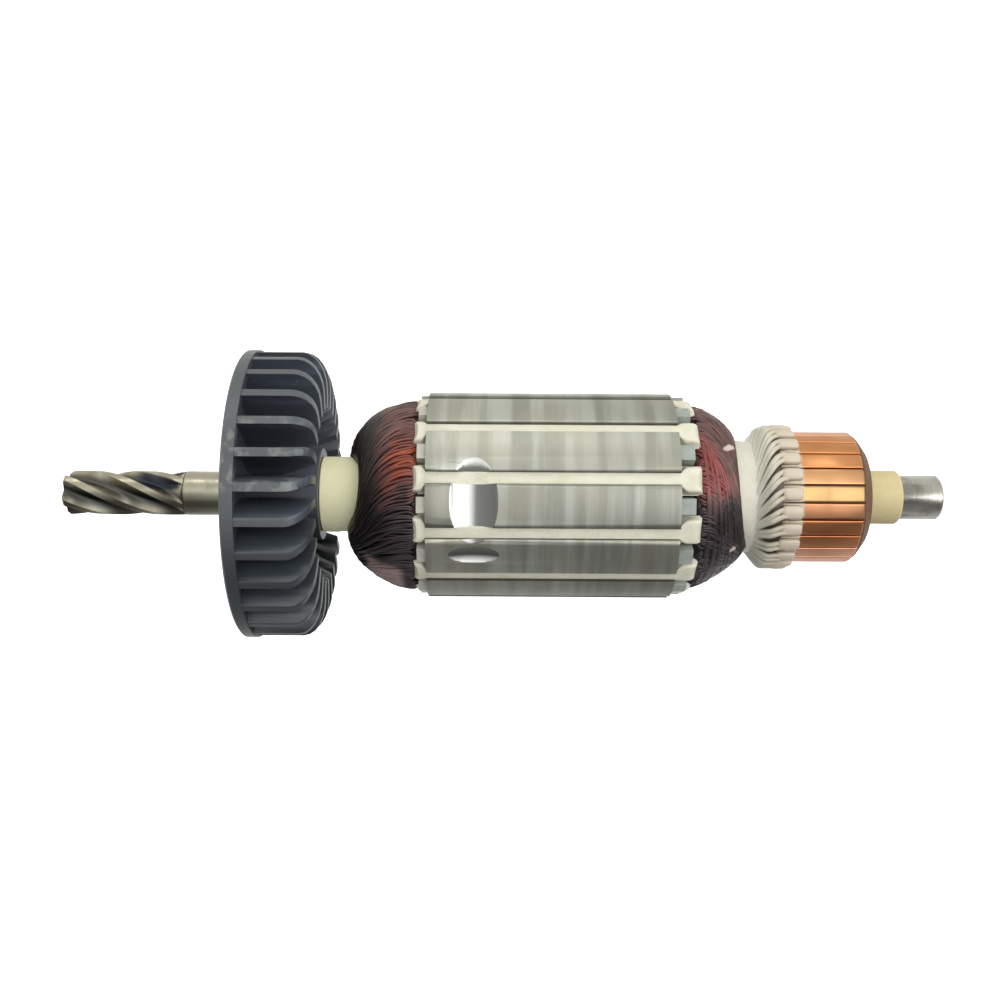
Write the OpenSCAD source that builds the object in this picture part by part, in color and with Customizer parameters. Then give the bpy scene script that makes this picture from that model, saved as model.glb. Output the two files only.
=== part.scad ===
// Wound armature of a universal motor, as it comes out of the machine:
// a ground steel shaft with a helical pinion cut on its drive end, a cooling
// fan, an insulated twelve-slot core with its coils, and a commutator.
// The shaft lies along X with the pinion at -X. The origin is the centre of
// the drive-end bearing seat. Angles round the shaft are counted from -Y,
// the near side, and grow upwards.

/* [Shaft] */
// Diameter of both bearing seats
seat_d = 8; // [7.5:0.1:8.5]
// Width of the drive-end bearing seat
seat_len = 7; // [6:0.5:8]
// Width of the commutator-end bearing seat
rear_seat_len = 7.1; // [6:0.1:8]
// Diameter of the shaft between its shoulders
shaft_d = 10; // [9.6:0.1:10.4]
// Number of pinion teeth
pinion_teeth = 5; // [4:1:6]
// Length of the pinion with its run-out
pinion_len = 21.7; // [16:0.1:26]
// Advance of a pinion tooth in one whole turn
pinion_lead = 50; // [44:0.5:60]
// Radius at the bottom of the pinion's gaps
pinion_root_r = 2.55; // [2.3:0.05:2.9]

/* [Fan] */
// Outer diameter of the fan
fan_d = 52; // [48:0.5:54]
// Number of fan blades
fan_blades = 28; // [20:1:30]
// Thickness of a fan blade
blade_t = 1.4; // [0.8:0.1:1.6]
// Axial depth of the fan from back face to blade tips
fan_depth = 14.2; // [13:0.1:16]

/* [Core] */
// Distance from the origin to the first lamination
core_x = 40.5; // [40:0.5:44]
// Outer diameter of the laminations
core_d = 37; // [36.6:0.1:38]
// Length of the lamination stack
core_len = 43; // [30:1:60]
// Width of the parallel part of each tooth
tooth_w = 3.4; // [3.1:0.1:3.7]
// Width of each slot mouth
mouth_w = 2.1; // [1.6:0.1:2.6]
// Thickness of the insulating sleeve's wall
sleeve_t = 1.8; // [1.4:0.1:2]
// Thickness of the slot liner paper
liner_t = 0.3; // [0.2:0.05:0.4]

/* [Winding] */
// Radius of the winding where it leaves the drive end of the slots
head_r = 16.9; // [16.4:0.1:17.2]
// Height of the bundles above the furrows between them
bundle_h = 0.7; // [0.3:0.1:1]
// Angle that a bundle sweeps from its slot to the shaft
bundle_sweep = 75; // [30:5:120]

/* [Commutator] */
// Number of commutator bars
bars = 24; // [24:1:24]
// Diameter of the brush track
track_d = 23.6; // [23:0.1:24.4]
// Length of the bars with their hooks
bar_len = 14.9; // [13:0.1:17]
// Width of the gap between two bars at the track
bar_gap = 0.5; // [0.35:0.05:0.7]
// Highest radius of the hooks that hold the coil ends
hook_r = 13; // [12.6:0.1:13.4]

/* [Hidden] */
slots = 12;
slot_pitch = 360 / slots;
first_slot = 9.4;
bar_pitch = 360 / bars;
first_bar = 2.7;
seat_r = seat_d / 2;
shaft_r = shaft_d / 2;
sleeve_r = shaft_r + sleeve_t;
rear_shaft_r = seat_r + 0.35;
bush_r = rear_shaft_r + 1.1;
neck_r = sleeve_r + 3;
bar_root = 8.6;
bar_end_r = track_d / 2 - 0.5;
gap_angle = bar_gap / (track_d / 2) * 180 / PI;
bar_angle = bar_pitch - gap_angle;
fine = 96;

// Stations along the shaft
pinion_end = -seat_len / 2 - 0.3;
fan_x = seat_len / 2 + 4.2;
fan_tip_x = fan_x + fan_depth;
fan_hub_x = fan_x - 2.7;
fan_hub_end = fan_x + 13.4;
core_end = core_x + core_len;
front_plate_x = core_x - 1.5;
rear_plate_end = core_end + 2.5;
head_x = front_plate_x - 0.9;
head_tip_x = head_x - 12.2;
rear_head_x = rear_plate_end + 1.4;
rear_head_tip = rear_head_x + 9.8;
bar_x = rear_head_tip + 4.3;
bar_end = bar_x + bar_len;
track_x = bar_x + 5;
track_end = bar_end - 0.5;
bush_x = bar_x - 3.4;
hub_end = bar_end + 1.9;
rear_sleeve_end = hub_end + 7;
shaft_end = rear_sleeve_end + rear_seat_len + 0.5;

// Slot section
tooth_half = tooth_w / 2;
slot_bottom_centre = 12.2;
shoulder_r = core_d / 2 - 1.8;
wire_top = shoulder_r - 0.8;

function two(i) = i < 10 ? str("0", i) : str(i);

// Stands a shape drawn along Z on the shaft: Z becomes X, X becomes the near side
module along_shaft(x = 0) {
    translate([x, 0, 0]) rotate([-90, 0, 0]) rotate([0, 90, 0]) children();
}

// Turns a profile of [x, radius] points about the shaft
module turned(profile, angle = 360) {
    along_shaft() rotate_extrude(angle = angle, $fn = fine)
        polygon([for (p = profile) [p[1], p[0]]]);
}

module tube(x0, x1, inner, outer) {
    along_shaft(x0) difference() {
        cylinder(h = x1 - x0, r = outer, $fn = fine);
        translate([0, 0, -1]) cylinder(h = x1 - x0 + 2, r = inner, $fn = fine);
    }
}

// A point at station x, radius r and angle a
function ring_point(x, r, a) = [x, -r * cos(a), r * sin(a)];

// Closes a stack of rings of n points, joined in order and back to the first.
// The last ring is joined to the first one with its points moved on by shift.
function torus_faces(rings, n, shift = 0) = [
    for (j = [0:rings - 1], i = [0:n - 1])
        let (next = (j + 1) % rings,
             moved = j == rings - 2 ? shift : 0,
             a = j * n + i,
             b = j * n + (i + 1) % n,
             c = next * n + (i + 1 + moved) % n,
             d = next * n + (i + moved) % n)
        each [[a, b, c], [a, c, d]]];

// Closes a stack of rings of n points with a flat cap at each end
function solid_faces(rings, n) = concat(
    [for (j = [0:rings - 2], i = [0:n - 1])
        let (a = j * n + i,
             b = j * n + (i + 1) % n)
        each [[a, b, b + n], [a, b + n, a + n]]],
    [[for (i = [n - 1:-1:0]) i]],
    [[for (i = [0:n - 1]) (rings - 1) * n + i]]);

// Helical pinion, cut into the end of the shaft with rounded gaps that run out
// in an arc before the bearing seat
pinion_r = seat_r - 0.02;
tooth_points = 10;
pinion_points = tooth_points * pinion_teeth;
pinion_rings = 30;
pinion_phase = 9.4;
crest = 0.42;
runout = 3.6;

// Radius of the tooth form over one pitch: a broad crest and a rounded gap
function tooth_form(u) =
    let (s = abs(u - 0.5) * 2)
    s < crest ? pinion_r
    : pinion_r - (pinion_r - pinion_root_r) * pow(sin(90 * (s - crest) / (1 - crest)), 0.8);

// Floor left by the round cutter as it leaves the gap
function cutter_floor(to_end) =
    to_end > runout ? 0
    : pinion_r - (pinion_r - pinion_root_r) * pow(to_end / runout, 0.6);

function tip_chamfer(from_tip) = from_tip < 0.01 ? pinion_r - 0.45 : pinion_r;

module pinion() {
    steps = concat([0, 0.45], [for (j = [1:pinion_rings]) 0.45 + (pinion_len - 0.45) * j / pinion_rings]);
    points = [for (s = steps, i = [0:pinion_points - 1])
        let (u = (i % tooth_points) / tooth_points,
             r = max(tooth_form(u), cutter_floor(pinion_len - s)),
             a = 360 * i / pinion_points - 360 * s / pinion_lead + pinion_phase)
        ring_point(pinion_end - pinion_len + s, min(r, tip_chamfer(s)), a)];
    polyhedron(points, solid_faces(len(steps), pinion_points));
}

// One-piece shaft: pinion, ground bearing seats and the shoulders between them
module shaft() {
    color("#8f8e86") {
        pinion();
        turned([
            [pinion_end - 1, 0],
            [pinion_end - 1, pinion_root_r - 0.6],
            [pinion_end, pinion_root_r - 0.6],
            [pinion_end, seat_r - 0.05],
            [-seat_len / 2, seat_r],
            [seat_len / 2, seat_r],
            [seat_len / 2, shaft_r - 0.3],
            [seat_len / 2 + 0.3, shaft_r],
            [bush_x, shaft_r],
            [bush_x, rear_shaft_r],
            [rear_sleeve_end, rear_shaft_r],
            [rear_sleeve_end, seat_r],
            [shaft_end - 0.5, seat_r],
            [shaft_end, seat_r - 0.5],
            [shaft_end, 0]]);
    }
}

// Moulded sleeve between the shaft and the core, seen as the pale collar
// between the fan and the winding
module insulating_sleeve() {
    color("#dcd7ac") tube(fan_hub_end, bush_x, shaft_r, sleeve_r);
}

// Short insulating sleeve behind the commutator, with a rounded outer end
module rear_sleeve() {
    outer = 4.85;
    color("#dcd7ac") turned([
        [hub_end, rear_shaft_r],
        [hub_end, outer],
        [rear_sleeve_end - 0.35, outer],
        [rear_sleeve_end, outer - 0.3],
        [rear_sleeve_end, rear_shaft_r]]);
}

// Plan of one curved blade: nearly radial inside and leaning at the rim
module blade_plan() {
    bend_r = 19.7;
    inner_r = 11.5;
    intersection() {
        translate([18, 18]) difference() {
            circle(r = bend_r + blade_t / 2, $fn = fine);
            circle(r = bend_r - blade_t / 2, $fn = fine);
        }
        difference() {
            circle(r = fan_d / 2, $fn = fine);
            circle(r = inner_r, $fn = fine);
        }
        translate([inner_r - 2, -12]) square([fan_d / 2, 24]);
    }
}

// Radial fan moulded in one piece: hub, back plate with a rim, and blades
module cooling_fan() {
    rim_r = fan_d / 2;
    hub_r = 8.6;
    plate_t = 1.8;
    rim_w = 2.3;
    tip_r = rim_r - 0.3;
    corner_x = 4;
    corner_r = 6.5;
    first_blade = 2.2;
    front_corner = [for (k = [0:6])
        [fan_tip_x - corner_x * (1 - sin(15 * k)), tip_r - corner_r * (1 - cos(15 * k))]];
    color("#2b2e33") {
        turned([
            [fan_hub_x, shaft_r],
            [fan_hub_x, hub_r - 0.8],
            [fan_hub_x + 0.8, hub_r],
            [fan_x + 0.6, hub_r],
            [fan_x + 0.6, hub_r + 4],
            [fan_x, hub_r + 6],
            [fan_x, rim_r - 0.5],
            [fan_x + 0.4, rim_r],
            [fan_x + rim_w, rim_r],
            [fan_x + rim_w, rim_r - 1.6],
            [fan_x + plate_t, rim_r - 1.8],
            [fan_x + plate_t, hub_r + 5],
            [fan_x + plate_t + 0.9, hub_r + 3],
            [fan_x + plate_t + 0.9, hub_r],
            [fan_hub_end, hub_r - 0.3],
            [fan_hub_end, shaft_r]]);
        intersection() {
            along_shaft(fan_x + 1) linear_extrude(fan_depth - 1)
                for (i = [0:fan_blades - 1])
                    rotate(-first_blade - 360 * i / fan_blades) blade_plan();
            turned(concat(
                [[fan_x + 0.8, 0], [fan_x + 0.8, tip_r]],
                front_corner,
                [[fan_tip_x, 15.8], [fan_x + 6, 11], [fan_x + 6, 0]]));
        }
    }
}

// Half width of a slot at radius u, between parallel-sided teeth.
// inset narrows the section by that much on each side.
function slot_half(u, inset) = u * tan(slot_pitch / 2) - (tooth_half + inset) / cos(slot_pitch / 2);

// One side of the slot section: round bottom, then the straight side up to radius top
function slot_side(inset, top) =
    let (r = slot_bottom_centre * sin(slot_pitch / 2) - tooth_half - inset,
         turn = 90 + slot_pitch / 2)
    concat(
        [for (k = [0:3]) [slot_bottom_centre - r * cos(turn * (k + 0.5) / 3.5 * 0.72),
                          r * sin(turn * (k + 0.5) / 3.5 * 0.72)]],
        [[top, slot_half(top, inset)]]);

module slot_section(inset, top) {
    side = slot_side(inset, top);
    count = len(side);
    polygon(concat(side, [for (k = [count - 1:-1:0]) [side[k][0], -side[k][1]]]));
}

// Repeats a section at slot number i, counted upwards from the near side
module at_slot(i) {
    rotate(-first_slot - slot_pitch * (i - 1)) children();
}

// Two milling cuts near the drive end that balance the armature: a broad one
// across a whole tooth, and a short groove along the next tooth down
module balance_cuts() {
    cut_x = core_x + 8.2;
    flat_cutter_r = 6.3;
    flat_depth = 1.45;
    flat_angle = -3.2;
    flat_len = 15;
    groove_cutter_r = 18.4;
    groove_depth = 0.55;
    groove_angle = -33.4;
    groove_nose_r = 3.5;
    rotate([-flat_angle, 0, 0])
        translate([cut_x, -core_d / 2 + flat_depth - flat_cutter_r, -flat_len / 2])
            cylinder(h = flat_len, r = flat_cutter_r, $fn = fine);
    rotate([-groove_angle, 0, 0])
        translate([cut_x, -core_d / 2 + groove_depth - groove_cutter_r, 0])
            rotate_extrude($fn = fine)
                translate([groove_cutter_r - groove_nose_r, 0]) circle(r = groove_nose_r, $fn = fine);
}

// Stack of electrical-steel laminations with twelve slots
module core_laminations() {
    color("#a9aca0") difference() {
        along_shaft(core_x) linear_extrude(core_len) difference() {
            circle(r = core_d / 2, $fn = fine);
            circle(r = sleeve_r, $fn = fine);
            for (i = [1:slots]) at_slot(i) {
                slot_section(0, shoulder_r);
                translate([shoulder_r - 0.5, -mouth_w / 2]) square([3, mouth_w]);
            }
        }
        balance_cuts();
    }
}

// Fibre star that covers one end of the core
module end_insulator(x0, x1) {
    arm_w = 2.7;
    along_shaft(x0) linear_extrude(x1 - x0) difference() {
        union() {
            circle(r = 10.5, $fn = fine);
            for (i = [1:slots]) rotate(-first_slot - slot_pitch * (i - 0.5))
                translate([8, -arm_w / 2]) square([core_d / 2 - 0.6 - 8, arm_w]);
        }
        circle(r = sleeve_r, $fn = fine);
    }
}

module drive_end_insulator() {
    color("#b9b9a4") end_insulator(front_plate_x, core_x);
}

module commutator_end_insulator() {
    color("#9fa79a") end_insulator(core_end, rear_plate_end);
}

// Paper trough that lines one slot and stands out at both ends
module slot_liner(i) {
    color("#e4e2cc") along_shaft(head_x) linear_extrude(rear_head_x - head_x) at_slot(i)
        difference() {
            slot_section(0, wire_top);
            slot_section(liner_t, wire_top + 1);
        }
}

// Fibre strip that closes one slot: a flange under the tooth tips and a rib in
// the mouth, just below the teeth. Beyond the core it spreads into a cuff.
module slot_wedge(i) {
    rib_top = core_d / 2 - 0.6;
    cuff_r = rib_top - 0.7;
    rib = mouth_w / 2;
    low = slot_half(wire_top, 0);
    high = slot_half(shoulder_r, 0);
    foot = [[shoulder_r, high], [wire_top, low], [wire_top, -low], [shoulder_r, -high]];
    color("#e9e8d6") difference() {
        intersection() {
            union() {
                along_shaft(core_x) linear_extrude(core_len) at_slot(i)
                    polygon(concat(foot, [
                        [shoulder_r, -rib],
                        [core_d / 2, -rib],
                        [core_d / 2, rib],
                        [shoulder_r, rib]]));
                for (ends = [[head_x, core_x], [core_end, rear_head_x]])
                    along_shaft(ends[0]) linear_extrude(ends[1] - ends[0]) at_slot(i)
                        polygon(concat(foot, [[rib_top, -rib], [rib_top, rib]]));
            }
            turned([
                [head_x, 0],
                [head_x, cuff_r],
                [core_x, rib_top],
                [core_end, rib_top],
                [rear_head_x, cuff_r],
                [rear_head_x, 0]]);
        }
        balance_cuts();
    }
}

// Height of the rope-like bundles over one slot pitch, in six steps
bundle_steps = [0, 0.72, 1, 0.98, 0.8, 0.45];

// Dome of end turns between the slots and the shaft. The bundles leave the
// slots along the shaft and swing round it as they near the sleeve.
module winding_dome(x0, length, outer, inner, bulge, direction) {
    columns = slots * len(bundle_steps);
    rows = 12;
    swing = round(bundle_sweep / 360 * columns);
    bore = sleeve_r / cos(180 / columns);
    last = 0.985;
    function along(t) = length * pow(sin(90 * t), 2 / bulge);
    function out(t) = inner + (outer - inner) * pow(cos(90 * t), 2 / bulge);
    outside = [for (j = [0:rows], i = [0:columns - 1])
        let (t = last * j / rows,
             lift = bundle_h * (bundle_steps[i % len(bundle_steps)] - 0.5) * (1 - 0.5 * t),
             a = first_slot + 360 * (i - 2.5) / columns - bundle_sweep * pow(t / last, 1.5))
        ring_point(x0 + direction * (along(t) + 0.8 * lift * t * (last - t)),
                   out(t) + lift * (1 - 0.4 * t), a)];
    inside = [for (end = [1, 0], i = [0:columns - 1])
        ring_point(x0 + direction * (end == 1 ? along(last) : 0), bore,
                   first_slot + 360 * (i - 2.5) / columns - (end == 1 ? bundle_sweep : 0))];
    faces = torus_faces(rows + 3, columns, -swing + columns);
    polyhedron(concat(outside, inside), direction > 0 ? faces : [for (f = faces) [f[2], f[1], f[0]]]);
}

// All twelve coils, varnished into one: coil sides in the slots and a dome of
// end turns at each end of the core
module armature_winding() {
    color("#4c1f1c") {
        winding_dome(head_x, head_x - head_tip_x, head_r, sleeve_r + 0.4, 1.85, -1);
        winding_dome(rear_head_x, rear_head_tip - rear_head_x, head_r - 0.5, neck_r, 1.35, 1);
        along_shaft(head_x - 1) linear_extrude(rear_head_x - head_x + 2)
            for (i = [1:slots]) at_slot(i) slot_section(liner_t, wire_top);
    }
}

// Coil ends under white varnish, fanned out from the winding's neck to the hooks
module coil_leads() {
    columns = bars * 6;
    twist = 30;
    profile = [
        [rear_head_tip, neck_r],
        [rear_head_tip + 0.9, neck_r + 0.3],
        [rear_head_tip + 1.7, neck_r + 1.4],
        [rear_head_tip + 2.4, neck_r + 2.4],
        [rear_head_tip + 3.2, neck_r + 3],
        [bar_x, neck_r + 3.1]];
    waves = [0, 0.75, 1, 1, 0.75, 0.3];
    rows = len(profile);
    swing = round(twist / 360 * columns);
    bore = sleeve_r / cos(180 / columns);
    outside = [for (j = [0:rows - 1], i = [0:columns - 1])
        let (t = j / (rows - 1),
             lift = 0.75 * (waves[i % 6] - 0.6) * sin(90 * min(1, 2 * t)))
        ring_point(profile[j][0], profile[j][1] + lift,
                   first_bar + 360 * (i - 2.5) / columns - twist * (1 - t))];
    inside = [for (end = [1, 0], i = [0:columns - 1])
        ring_point(end == 1 ? bar_x : rear_head_tip, bore,
                   first_bar + 360 * (i - 2.5) / columns - (end == 1 ? 0 : twist))];
    color("#d9d8c8") polyhedron(concat(outside, inside), torus_faces(rows + 2, columns, swing));
}

// Metal bush that presses the commutator onto the shaft
module commutator_bush() {
    color("#8a8478") tube(bush_x, hub_end, rear_shaft_r, bush_r);
}

// Moulded resin body that carries the bars and fills the lower part of their gaps
module commutator_hub() {
    fill_r = track_d / 2 - 0.8;
    color("#3a2620") {
        turned([
            [bush_x, bush_r],
            [bush_x, sleeve_r],
            [bar_x, sleeve_r],
            [bar_x, bar_root],
            [bar_end, bar_root],
            [bar_end, bar_end_r],
            [bar_end + 0.3, bar_end_r - 0.1],
            [hub_end, bar_root + 0.5],
            [hub_end, bush_r]]);
        for (i = [0:bars - 1])
            rotate([-first_bar - bar_pitch * (i + 0.5) - gap_angle / 2, 0, 0])
                turned([
                    [bar_x, bar_root - 0.6],
                    [bar_x, fill_r],
                    [bar_end + 0.2, fill_r],
                    [bar_end + 0.2, bar_root - 0.6]], gap_angle);
    }
}

// Copper bar, chamfered at its free end, with the hook that grips the coil ends
module commutator_bar(i) {
    hook_angle = bar_angle - 3;
    start = first_bar + bar_pitch * (i - 1);
    color("#c67a3c") {
        rotate([-start - bar_angle / 2, 0, 0]) turned([
            [bar_x, bar_root],
            [bar_x, track_d / 2],
            [track_end, track_d / 2],
            [bar_end, bar_end_r],
            [bar_end, bar_root]], bar_angle);
        rotate([-start - hook_angle / 2, 0, 0]) turned([
            [bar_x, bar_root + 1],
            [bar_x, hook_r - 0.5],
            [bar_x + 0.5, hook_r],
            [bar_x + 2, hook_r - 0.15],
            [track_x - 0.5, track_d / 2 + 0.2],
            [track_x, bar_root + 1]], hook_angle);
    }
}

shaft();
insulating_sleeve();
rear_sleeve();
cooling_fan();
core_laminations();
drive_end_insulator();
commutator_end_insulator();
armature_winding();
coil_leads();
commutator_bush();
commutator_hub();
for (i = [1:slots]) {
    slot_liner(i);
    slot_wedge(i);
}
for (i = [1:bars])
    commutator_bar(i);
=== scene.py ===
import math
import random

import bmesh
import bpy
from mathutils import Matrix, Vector


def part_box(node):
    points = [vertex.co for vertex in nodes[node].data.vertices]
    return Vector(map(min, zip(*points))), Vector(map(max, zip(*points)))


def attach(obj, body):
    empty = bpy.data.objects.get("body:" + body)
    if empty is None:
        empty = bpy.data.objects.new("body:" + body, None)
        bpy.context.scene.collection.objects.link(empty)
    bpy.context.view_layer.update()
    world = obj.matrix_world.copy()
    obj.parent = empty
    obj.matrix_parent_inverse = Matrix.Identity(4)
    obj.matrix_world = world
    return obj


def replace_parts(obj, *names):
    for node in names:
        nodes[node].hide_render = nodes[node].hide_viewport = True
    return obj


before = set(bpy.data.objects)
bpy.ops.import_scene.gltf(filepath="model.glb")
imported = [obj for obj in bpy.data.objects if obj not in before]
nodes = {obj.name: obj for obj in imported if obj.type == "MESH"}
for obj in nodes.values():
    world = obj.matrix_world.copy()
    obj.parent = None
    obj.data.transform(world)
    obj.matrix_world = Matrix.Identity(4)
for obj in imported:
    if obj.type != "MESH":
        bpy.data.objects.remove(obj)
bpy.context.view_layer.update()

# ---------------------------------------------------------------------------
# Camera, floor and light. The armature is held level in front of a white
# sweep. The room is bright at camera height and towards the commutator, and
# dim below. A soft lamp hangs over the near side, and a weak one fills it.
# ---------------------------------------------------------------------------
MM = 0.001
middle_x, camera_away, camera_up, camera_roll = 51.5, 215.8, 0.8, 0.355
scene = bpy.context.scene
scene.view_settings.view_transform = "Standard"

camera = bpy.data.objects.new("camera", bpy.data.cameras.new("camera"))
scene.collection.objects.link(camera)
scene.camera = camera
camera.data.sensor_width = 36
camera.data.lens = 43.4
camera.data.clip_start = 0.01
camera.location = (middle_x * MM, -camera_away * MM, camera_up * MM)
camera.rotation_euler = (Matrix.Rotation(math.radians(90), 3, "X")
                         @ Matrix.Rotation(math.radians(camera_roll), 3, "Z")).to_euler()


class Value:
    """A number or colour that varies. Plain arithmetic on it adds Math nodes."""

    def __init__(self, graph, socket):
        self.graph = graph
        self.socket = socket

    def math(self, operation, *others):
        sockets = dict(enumerate(others, 1))
        sockets[0] = self
        return self.graph.add("ShaderNodeMath", {"operation": operation}, sockets)

    def swapped(self, operation, other):
        return self.graph.add("ShaderNodeMath", {"operation": operation}, {0: other, 1: self})

    def __add__(self, other):
        return self.math("ADD", other)

    def __sub__(self, other):
        return self.math("SUBTRACT", other)

    def __rsub__(self, other):
        return self.swapped("SUBTRACT", other)

    def __mul__(self, other):
        return self.math("MULTIPLY", other)

    def __truediv__(self, other):
        return self.math("DIVIDE", other)

    __radd__ = __add__
    __rmul__ = __mul__


class Graph:
    """A node tree and the method that adds its nodes."""

    def __init__(self, tree):
        self.tree = tree

    def feed(self, socket, value):
        """Links a socket to a Value, or sets it to a constant."""
        if isinstance(value, Value):
            self.tree.links.new(value.socket, socket)
        else:
            socket.default_value = value

    def add(self, kind, settings, sockets, output=0):
        """Adds a node: its settings come first, then what its sockets take."""
        node = self.tree.nodes.new(kind)
        for key, value in settings.items():
            if key == "stops":
                ramp = node.color_ramp
                ramp.interpolation = "EASE"
                while len(ramp.elements) < len(value):
                    ramp.elements.new(0.5)
                for element, (place, colour) in zip(ramp.elements, value):
                    element.position = place
                    element.color = (*colour, 1)
            else:
                setattr(node, key, value)
        for key, value in sockets.items():
            self.feed(node.inputs[key], value)
        return Value(self, node.outputs[output])


class Finish(Graph):
    """One procedural material: a Principled shader and the nodes that feed it.
    x runs along the shaft, r is the distance from it and turn the angle round it, in mm and radians."""

    def __init__(self, name, **constants):
        self.material = bpy.data.materials.new(name)
        self.material.use_nodes = True
        super().__init__(self.material.node_tree)
        self.shader = self.tree.nodes["Principled BSDF"]
        self.set(**constants)
        place = self.add("ShaderNodeTexCoord", {}, {}, "Object")
        self.place = self.add("ShaderNodeVectorMath", {"operation": "SCALE"},
                              {0: place, "Scale": 1 / MM}, "Vector")
        self.x = self.add("ShaderNodeSeparateXYZ", {}, {0: self.place}, "X")
        self.y = Value(self, self.x.socket.node.outputs["Y"])
        self.z = Value(self, self.x.socket.node.outputs["Z"])
        self.r = (self.y * self.y + self.z * self.z).math("SQRT")
        self.turn = self.z.math("ARCTAN2", 0 - self.y)

    def set(self, **sockets):
        """Feeds the Principled shader; _ stands for a space in a socket's name."""
        for key, value in sockets.items():
            self.feed(self.shader.inputs[key.replace("_", " ")], value)

    def noise(self, scale, detail=3, stretch=(1, 1, 1), around=0):
        """Noise with scale features in each mm. With around, a radius in mm, it lies in x, turn and r."""
        base = self.place
        if around:
            base = self.add("ShaderNodeCombineXYZ", {}, {0: self.x, 1: self.turn * around, 2: self.r})
        base = self.add("ShaderNodeVectorMath", {"operation": "MULTIPLY"}, {0: base, 1: stretch}, "Vector")
        return self.add("ShaderNodeTexNoise", {}, {"Vector": base, "Scale": scale, "Detail": detail}, "Fac")

    def band(self, value, low, high):
        """0 below low, 1 above high and smooth between; the other way round where low is the higher."""
        return self.add("ShaderNodeMapRange", {"interpolation_type": "SMOOTHSTEP"},
                        {"Value": value, "From Min": low, "From Max": high})

    def mix(self, share, first, second):
        """Colour between two others; a colour is a tuple or a Value."""
        sockets = {0: share}
        for key, value in ((6, first), (7, second)):
            sockets[key] = value if isinstance(value, Value) else (*value, 1)
        return self.add("ShaderNodeMix", {"data_type": "RGBA"}, sockets, 2)

    def bump(self, height, depth):
        """Bump of that depth in mm."""
        self.set(Normal=self.add("ShaderNodeBump", {},
                                 {"Strength": 1.0, "Distance": depth * MM, "Height": height}, "Normal"))


floor_z, floor_side, floor_front, floor_back, sweep_r, wall_top = -0.12, 3, -2, 1.2, 0.6, 3
floor_paint = Finish("floor_paint", Roughness=0.9, Emission_Strength=0.55, Emission_Color=(1, 1, 1, 1))
floor_paint.set(Base_Color=floor_paint.mix(floor_paint.noise(0.01), (0.93, 0.93, 0.93), (0.95, 0.95, 0.95)))

profile = [(floor_front, floor_z)]
for k in range(11):
    a = math.radians(9 * k)
    profile.append((floor_back + sweep_r * math.sin(a), floor_z + sweep_r * (1 - math.cos(a))))
profile.append((floor_back + sweep_r, wall_top))
floor_mesh = bmesh.new()
line = [floor_mesh.verts.new((-floor_side, y, z)) for y, z in profile]
lines = [floor_mesh.edges.new(pair) for pair in zip(line, line[1:])]
wide = bmesh.ops.extrude_edge_only(floor_mesh, edges=lines)
bmesh.ops.translate(floor_mesh, vec=(2 * floor_side, 0, 0),
                    verts=[v for v in wide["geom"] if isinstance(v, bmesh.types.BMVert)])
bmesh.ops.recalc_face_normals(floor_mesh, faces=floor_mesh.faces)
floor_data = bpy.data.meshes.new("floor")
floor_mesh.to_mesh(floor_data)
floor_mesh.free()
floor_data.shade_smooth()
floor = bpy.data.objects.new("floor", floor_data)
floor.data.materials.append(floor_paint.material)
# The room below lights the armature, so the floor neither shows in it nor brightens it.
floor.visible_glossy = False
floor.visible_diffuse = False
scene.collection.objects.link(floor)


def grey_stops(levels, low, high, warm_from=math.inf):
    """Ramp stops from low to high, from pairs of a place and its grey. From warm_from on they are warmer."""
    return [((place - low) / (high - low), (level, level, level * (0.95 if place >= warm_from else 1)))
            for place, level in levels]


# Glow by degrees over the horizon of the near side, so that 180 is the horizon behind.
GLOW = ((-180, 0.5), (-150, 0.4), (-120, 0.25), (-95, 0.18), (-75, 0.095), (-45, 0.1), (-28, 0.35), (-8, 0.7),
        (4, 0.85), (16, 0.825), (28, 0.525), (50, 0.43), (110, 0.4), (150, 0.475), (180, 0.5))
# How strong that glow is from the pinion's side to the commutator's, and by degrees, how far that counts.
SIDE_GLOW = ((-0.28, 0.35), (-0.1, 0.5), (0.16, 0.5), (0.36, 0.95))
SIDE_COUNTS = ((-42, 0), (-20, 1), (20, 1), (48, 0))
even_glow, glow_strength = 0.5, 4

world = bpy.data.worlds.new("studio")
scene.world = world
world.use_nodes = True
room = Graph(world.node_tree)
aim = room.add("ShaderNodeTexCoord", {}, {}, "Generated")
aim_right = room.add("ShaderNodeSeparateXYZ", {}, {0: aim}, "X")
aim_away = Value(room, aim_right.socket.node.outputs["Y"])
aim_up = Value(room, aim_right.socket.node.outputs["Z"])
height = aim_up.math("ARCTAN2", 0 - aim_away) * (0.5 / math.pi) + 0.5
glow = room.add("ShaderNodeValToRGB", {"stops": grey_stops(GLOW, -180, 180, 28)}, {0: height})
side_glow = room.add("ShaderNodeValToRGB", {"stops": grey_stops(SIDE_GLOW, -1, 1)},
                     {0: aim_right * 0.5 + 0.5})
side_counts = room.add("ShaderNodeValToRGB", {"stops": grey_stops(SIDE_COUNTS, -180, 180)}, {0: height})
strength = (even_glow + (side_glow - even_glow) * side_counts) * glow_strength
background = world.node_tree.nodes["Background"]
room.feed(background.inputs["Color"], glow)
room.feed(background.inputs["Strength"], strength)


def softbox(name, place, size, power):
    """Rectangular lamp aimed at the armature, its place and size in metres and its power in watts."""
    light = bpy.data.objects.new(name, bpy.data.lights.new(name, "AREA"))
    light.data.shape = "RECTANGLE"
    light.data.size, light.data.size_y = size
    light.data.energy = power
    light.location = place
    aim = Vector((middle_x * MM, 0, 0)) - Vector(place)
    light.rotation_euler = aim.to_track_quat("-Z", "Y").to_euler()
    scene.collection.objects.link(light)
    return light


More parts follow.
